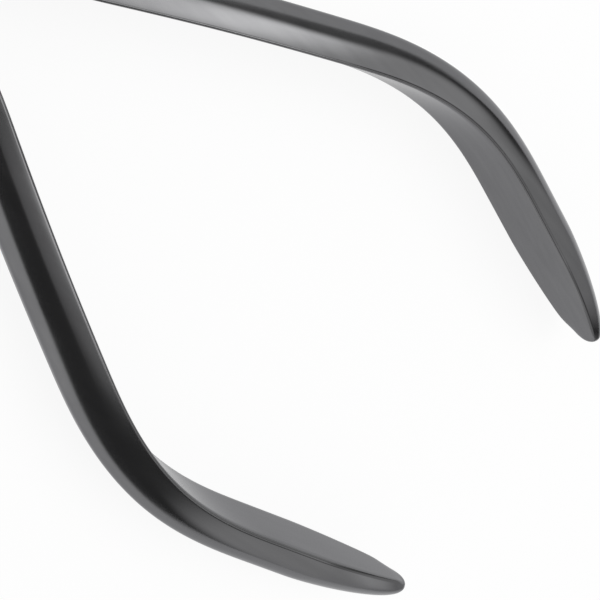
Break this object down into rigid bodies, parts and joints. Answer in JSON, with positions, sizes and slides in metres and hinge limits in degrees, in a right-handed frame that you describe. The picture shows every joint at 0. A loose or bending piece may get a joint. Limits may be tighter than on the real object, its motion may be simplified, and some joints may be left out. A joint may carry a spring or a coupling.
{
  "type": "wire bending pliers",
  "caption": "Small lap-joint pliers for bending fine wire, with one conical and one square tapered beak and slim bowed handles.",
  "frame": {"origin": "on the pivot axis, in the plane of the joint's underside", "axes": "+X from the pivot towards the beaks, along the middle between the two halves; +Z along the pivot screw, out of its slotted head; +Y across, towards the handle of the half with the flat beak"},
  "size_m": [0.1258, 0.0552, 0.0104],
  "materials": {
    "satin_steel": "satin stainless steel",
    "screw_steel": "satin stainless steel, turned"
  },
  "bodies": {
    "lower_half": {"round_beak_half": "satin_steel", "pivot_screw": "screw_steel"},
    "upper_half": {"flat_beak_half": "satin_steel"}
  },
  "joints": [
    {"name": "pivot", "type": "hinge", "parent": "lower_half", "child": "upper_half", "pos_m": [0, 0, 0], "axis": [0, 0, -1], "range_deg": [-12, 30]}
  ]
}
